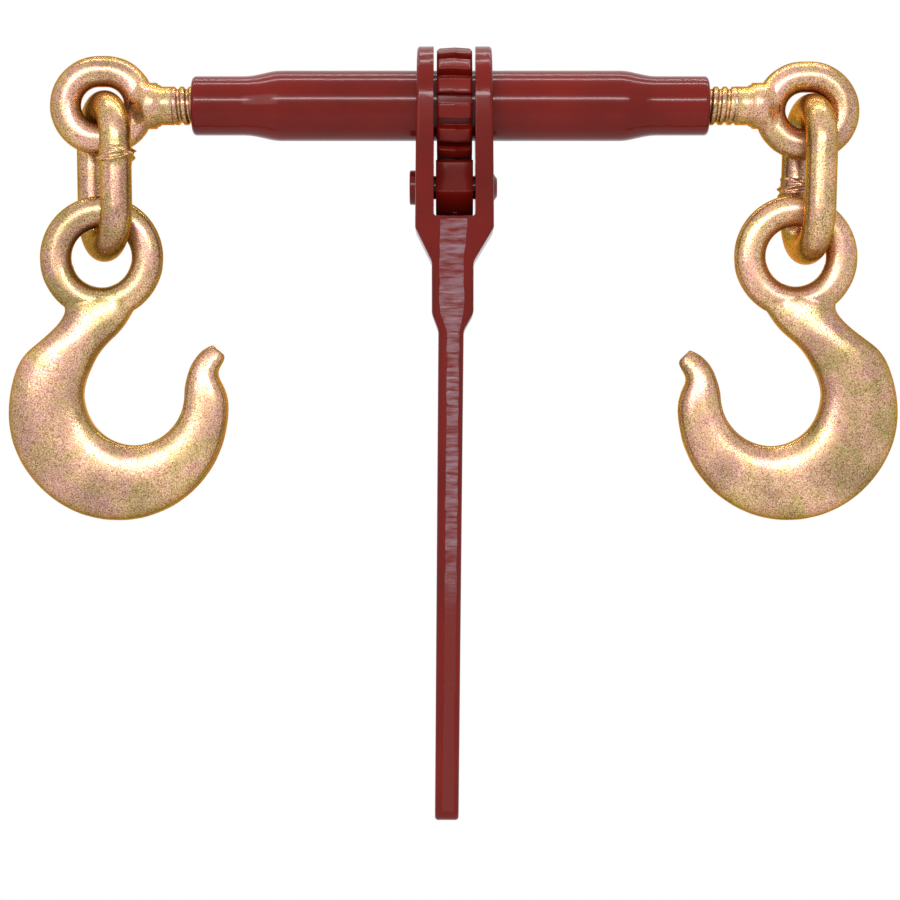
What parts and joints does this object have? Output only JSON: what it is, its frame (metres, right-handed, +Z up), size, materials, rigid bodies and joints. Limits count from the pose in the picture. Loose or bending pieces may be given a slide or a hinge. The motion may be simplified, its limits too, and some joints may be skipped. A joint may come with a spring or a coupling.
{
  "type": "ratchet load binder",
  "caption": "Ratchet load binder: a screw barrel with right and left hand eye bolts, a long ratchet handle, and a link and slip hook at each end.",
  "frame": {"origin": "on the barrel's axis, in the middle of the ratchet wheel", "axes": "+X along the barrel towards the left hand thread's end, +Z up away from the handle's grip, +Y away from the picture's viewer"},
  "size_m": [0.4382, 0.058, 0.38],
  "materials": {
    "red_paint": "gloss",
    "yellow_zinc": "yellow zinc plate",
    "bare_steel": "satin"
  },
  "bodies": {
    "barrel": {"barrel_tube": "red_paint", "ratchet_wheel": "red_paint"},
    "handle": {"handle": "red_paint", "pawl_pin": "red_paint", "detent_spring": "bare_steel"},
    "pawl": {"pawl": "red_paint"},
    "plunger": {"detent_plunger": "bare_steel"},
    "left_stop": {"left_stop_ring": "bare_steel"},
    "left_screw": {"left_eye_bolt": "yellow_zinc", "left_stop_pin": "bare_steel"},
    "left_link": {"left_link": "yellow_zinc"},
    "left_hook": {"left_hook": "yellow_zinc"},
    "right_stop": {"right_stop_ring": "bare_steel"},
    "right_screw": {"right_eye_bolt": "yellow_zinc", "right_stop_pin": "bare_steel"},
    "right_link": {"right_link": "yellow_zinc"},
    "right_hook": {"right_hook": "yellow_zinc"}
  },
  "joints": [
    {"name": "handle_swing", "type": "hinge", "parent": "barrel", "child": "handle", "pos_m": [0, 0, 0], "axis": [1, 0, 0], "range_deg": [-180, 180]},
    {"name": "pawl_rock", "type": "hinge", "parent": "handle", "child": "pawl", "pos_m": [0, 0, -0.0403], "axis": [1, 0, 0], "range_deg": [-22.47, 22.47]},
    {"name": "detent_press", "type": "slide", "parent": "handle", "child": "plunger", "axis": [0, 0, -1], "range_m": [0, 0.0012], "stiffness_N_per_m": 2000, "deforming": ["detent_spring"]},
    {"name": "left_screw_travel", "type": "slide", "parent": "barrel", "child": "left_stop", "axis": [-1, 0, 0], "range_m": [-0.00441, 0.07481]},
    {"name": "left_screw_turn", "type": "hinge", "parent": "left_stop", "child": "left_screw", "pos_m": [0, 0, 0], "axis": [-1, 0, 0], "range_deg": [-360, 6120]},
    {"name": "left_link_swing", "type": "hinge", "parent": "left_screw", "child": "left_link", "pos_m": [-0.1734, 0, -0.0002], "axis": [-0.2115, 0.9542, -0.2115], "range_deg": [-4, 120]},
    {"name": "left_hook_swing", "type": "hinge", "parent": "left_link", "child": "left_hook", "pos_m": [-0.17402, 0, -0.0748], "axis": [0, 1, 0], "range_deg": [-70, 70]},
    {"name": "right_screw_travel", "type": "slide", "parent": "barrel", "child": "right_stop", "axis": [1, 0, 0], "range_m": [-0.00441, 0.07481]},
    {"name": "right_screw_turn", "type": "hinge", "parent": "right_stop", "child": "right_screw", "pos_m": [0, 0, 0], "axis": [-1, 0, 0], "range_deg": [-360.5, 6120.5]},
    {"name": "right_link_swing", "type": "hinge", "parent": "right_screw", "child": "right_link", "pos_m": [0.1757, 0, -0.0017], "axis": [0.0868, -0.9924, -0.0868], "range_deg": [-10, 120]},
    {"name": "right_hook_swing", "type": "hinge", "parent": "right_link", "child": "right_hook", "pos_m": [0.1683, 0, -0.07436], "axis": [0, -1, 0], "range_deg": [-70, 70]}
  ],
  "couplings": [
    {"joint": "left_screw_travel", "follows": "left_screw_turn", "m_per_rad": 0.00070028},
    {"joint": "right_screw_travel", "follows": "left_screw_turn", "m_per_rad": 0.00070028},
    {"joint": "right_screw_turn", "follows": "left_screw_turn", "ratio": 1}
  ]
}
